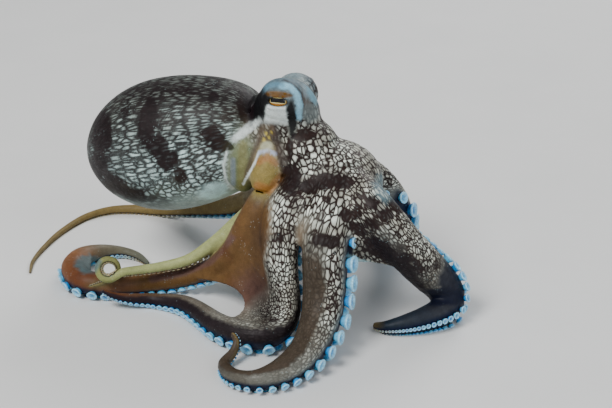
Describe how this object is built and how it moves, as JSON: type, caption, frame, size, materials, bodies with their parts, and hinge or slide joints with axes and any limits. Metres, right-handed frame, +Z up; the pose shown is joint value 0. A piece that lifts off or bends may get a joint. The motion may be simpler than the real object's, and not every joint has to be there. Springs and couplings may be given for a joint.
{
  "type": "octopus",
  "caption": "Veined octopus standing on its curled arms, bag-like mantle raised behind the head, as a still life-size museum model.",
  "frame": {"origin": "on the floor, at the centre of the model's box seen from above", "axes": "+X the way the head leads, away from the mantle; +Y the animal's left; +Z up"},
  "size_m": [0.1609, 0.1461, 0.08],
  "materials": {
    "arm_skin": "soft moist skin, dark with pale cells",
    "arm_tan_skin": "smooth moist skin, reddish tan",
    "collar_skin": "smooth moist skin, olive",
    "crown_skin": "soft moist skin, network pattern",
    "eye": "glossy golden eye",
    "funnel_skin": "smooth moist skin, orange",
    "head_skin": "soft moist skin",
    "mantle_skin": "soft moist skin, network pattern",
    "web_skin": "thin smooth skin, reddish brown"
  },
  "bodies": {
    "root": {"arm_left_1_middle": "arm_skin", "arm_left_1_tip": "arm_skin", "arm_left_1_upper": "arm_skin", "arm_left_2_lower": "arm_skin", "arm_left_2_middle": "arm_skin", "arm_left_2_tip": "arm_skin", "arm_left_2_upper": "arm_skin", "arm_left_3_lower": "arm_tan_skin", "arm_left_3_middle": "arm_tan_skin", "arm_left_3_tip": "arm_tan_skin", "arm_left_3_upper": "arm_tan_skin", "arm_left_4_tip": "arm_tan_skin", "arm_left_4_upper": "arm_tan_skin", "arm_right_1_middle": "arm_skin", "arm_right_1_tip": "arm_skin", "arm_right_1_upper": "arm_skin", "arm_right_2_middle": "arm_skin", "arm_right_2_tip": "arm_skin", "arm_right_2_upper": "arm_skin", "arm_right_3_middle": "arm_skin", "arm_right_3_tip": "arm_skin", "arm_right_3_upper": "arm_skin", "arm_right_4_lower": "arm_tan_skin", "arm_right_4_middle": "arm_tan_skin", "arm_right_4_tip": "arm_tan_skin", "arm_right_4_upper": "arm_tan_skin", "collar": "collar_skin", "crown": "crown_skin", "eye_left": "eye", "eye_right": "eye", "funnel": "funnel_skin", "head": "head_skin", "mantle": "mantle_skin", "web_left_1_right_1": "web_skin", "web_left_2_left_1": "web_skin", "web_left_3_left_2": "web_skin", "web_left_4_left_3": "web_skin", "web_right_1_right_2": "web_skin", "web_right_2_right_3": "web_skin", "web_right_3_right_4": "web_skin", "web_right_4_bend": "web_skin", "web_right_4_left_4": "web_skin"}
  },
  "joints": []
}
